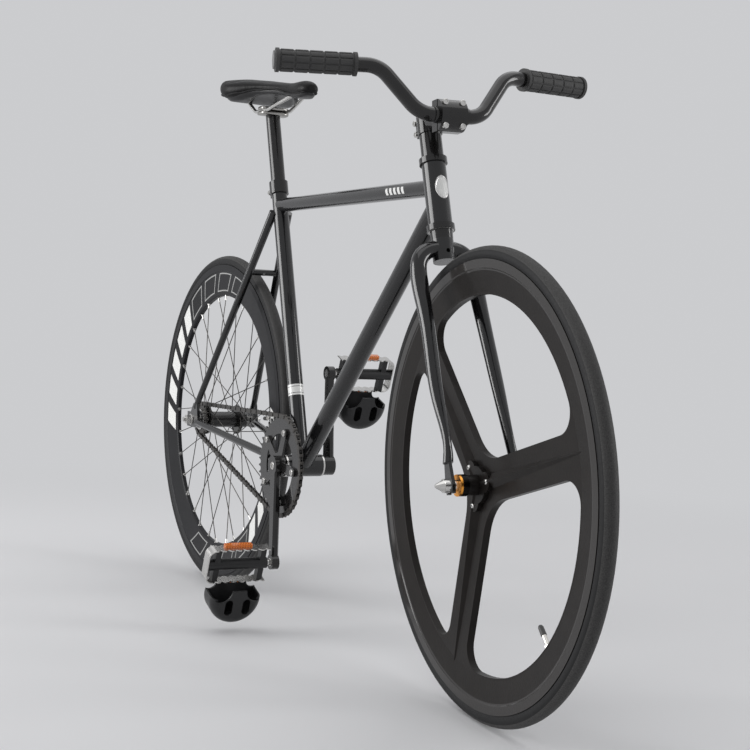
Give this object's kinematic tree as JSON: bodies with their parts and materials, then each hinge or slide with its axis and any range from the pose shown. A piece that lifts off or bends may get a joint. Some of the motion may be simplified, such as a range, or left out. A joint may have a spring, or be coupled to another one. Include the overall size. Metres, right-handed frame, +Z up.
{
  "type": "fixed gear bike",
  "caption": "Single-speed fixed gear bicycle with a black steel frame, cast tri-spoke front wheel, deep-rim wire-spoked rear wheel, riser bar, cage pedals with toe clips and slim saddle.",
  "frame": {"origin": "on the floor, halfway between the two axles in the middle plane of the frame", "axes": "+X forward, +Y to the rider's left, +Z up"},
  "size_m": [1.6841, 0.5175, 1.0144],
  "materials": {
    "frame_paint": "gloss black paint",
    "black_alloy": "black anodised",
    "wheel_casting": "satin black casting",
    "bright_steel": "bright plated",
    "dark_steel": "blackened",
    "amber_alloy": "amber anodised",
    "tyre_rubber": "matte",
    "tube_rubber": "matte",
    "grip_rubber": "matte moulded",
    "black_plastic": "moulded",
    "amber_lens": "clear amber",
    "saddle_cover": "glossy synthetic leather"
  },
  "bodies": {
    "frame": {"head_tube": "frame_paint", "top_tube": "frame_paint", "down_tube": "frame_paint", "seat_tube": "frame_paint", "bottom_bracket_shell": "frame_paint", "chainstays": "frame_paint", "seatstays": "frame_paint", "track_ends": "frame_paint", "stay_bridges": "frame_paint", "seat_collar": "black_alloy", "headset_cups": "black_alloy", "bottom_bracket_cups": "bright_steel", "rear_axle": "bright_steel", "rear_axle_nuts": "bright_steel", "chain": "dark_steel"},
    "fork": {"fork_crown": "frame_paint", "fork_blades": "frame_paint", "headset_stack": "black_alloy", "headset_bearings": "bright_steel", "stem": "black_alloy", "stem_faceplate": "black_alloy", "stem_bolts": "bright_steel", "handlebar": "black_alloy", "grips": "grip_rubber", "bar_end_plugs": "black_plastic", "front_axle": "bright_steel", "front_axle_nuts": "bright_steel"},
    "front_wheel": {"front_wheel": "wheel_casting", "front_tyre": "tyre_rubber", "front_inner_tube": "tube_rubber", "front_hub_bearings": "bright_steel", "front_hub_caps": "amber_alloy"},
    "rear_wheel": {"rear_rim": "black_alloy", "rear_tyre": "tyre_rubber", "rear_inner_tube": "tube_rubber", "rear_hub": "black_alloy", "rear_spokes": "dark_steel", "rear_nipples": "bright_steel", "rear_hub_bearings": "bright_steel", "rear_cog": "bright_steel", "cog_lockring": "bright_steel"},
    "crankset": {"bottom_bracket_spindle": "bright_steel", "right_crank": "black_alloy", "left_crank": "black_alloy", "chainring": "black_alloy", "crankset_bolts": "bright_steel", "pedal_spindles": "bright_steel"},
    "right_pedal": {"right_pedal_body": "black_plastic", "right_pedal_cage": "bright_steel", "right_pedal_reflectors": "amber_lens", "right_toe_clip": "black_plastic"},
    "left_pedal": {"left_pedal_body": "black_plastic", "left_pedal_cage": "bright_steel", "left_pedal_reflectors": "amber_lens", "left_toe_clip": "black_plastic"},
    "seat": {"seatpost": "black_alloy", "seat_clamp": "bright_steel", "saddle_rails": "bright_steel", "saddle_shell": "black_plastic", "saddle_padding": "saddle_cover"}
  },
  "joints": [
    {"name": "steering", "type": "hinge", "parent": "frame", "child": "fork", "pos_m": [0.46585, 0, 0.32159], "axis": [-0.3049, 0, 0.9524], "range_deg": [-65, 75]},
    {"name": "front_wheel_spin", "type": "hinge", "parent": "fork", "child": "front_wheel", "pos_m": [0.50759, -0.00383, 0.33495], "axis": [0.083, 0.9962, 0.0266], "continuous": true},
    {"name": "rear_wheel_spin", "type": "hinge", "parent": "frame", "child": "rear_wheel", "pos_m": [-0.50775, 0, 0.335], "axis": [0, 1, 0], "continuous": true, "deforming": ["chain"]},
    {"name": "crank_spin", "type": "hinge", "parent": "frame", "child": "crankset", "pos_m": [-0.1081, 0, 0.288], "axis": [0, 1, 0], "continuous": true, "deforming": ["chain"]},
    {"name": "right_pedal_spin", "type": "hinge", "parent": "crankset", "child": "right_pedal", "pos_m": [-0.06697, 0, 0.12305], "axis": [0, 1, 0], "continuous": true},
    {"name": "left_pedal_spin", "type": "hinge", "parent": "crankset", "child": "left_pedal", "pos_m": [-0.14922, 0, 0.45295], "axis": [0, 1, 0], "continuous": true},
    {"name": "seatpost_slide", "type": "slide", "parent": "frame", "child": "seat", "axis": [-0.3007, 0, 0.9537], "range_m": [-0.1, 0.05]}
  ],
  "couplings": [
    {"joint": "crank_spin", "follows": "rear_wheel_spin", "ratio": 0.36364}
  ]
}
